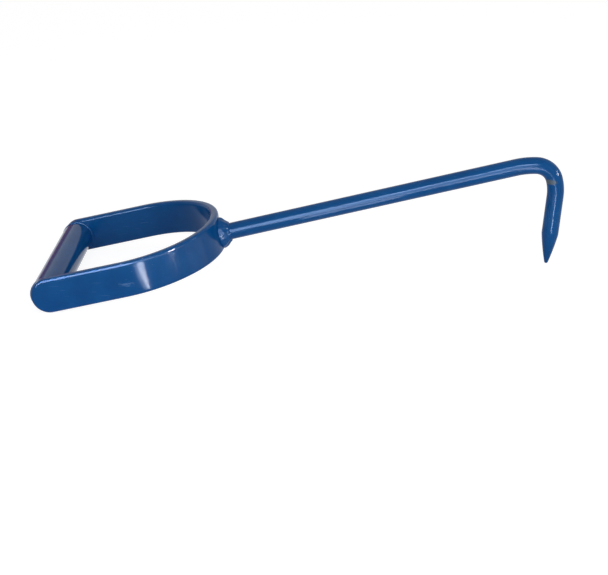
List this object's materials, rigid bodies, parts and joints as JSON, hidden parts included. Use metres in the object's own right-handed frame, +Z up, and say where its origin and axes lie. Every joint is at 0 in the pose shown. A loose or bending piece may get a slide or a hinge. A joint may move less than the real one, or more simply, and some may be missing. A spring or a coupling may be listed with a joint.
{
  "type": "root ball hook",
  "caption": "Hand hook for lifting root balls: a D handle of bent flat bar with a tube grip, and a welded round shank bent over to a pointed hook.",
  "frame": {"origin": "on the ground, under the middle of the tool's box as it rests on its two rounded arm ends and the tip of the hook", "axes": "+X from the grip towards the hook along the ground, +Y across the handle, along the grip, +Z up"},
  "size_m": [0.3736, 0.13, 0.0793],
  "materials": {
    "blue_paint": "gloss",
    "blue_paint_on_weld": "gloss"
  },
  "bodies": {
    "root": {"handle_bow": "blue_paint", "grip_tube": "blue_paint", "hook_bar": "blue_paint", "shank_weld": "blue_paint_on_weld", "near_grip_weld": "blue_paint_on_weld", "far_grip_weld": "blue_paint_on_weld"}
  },
  "joints": []
}
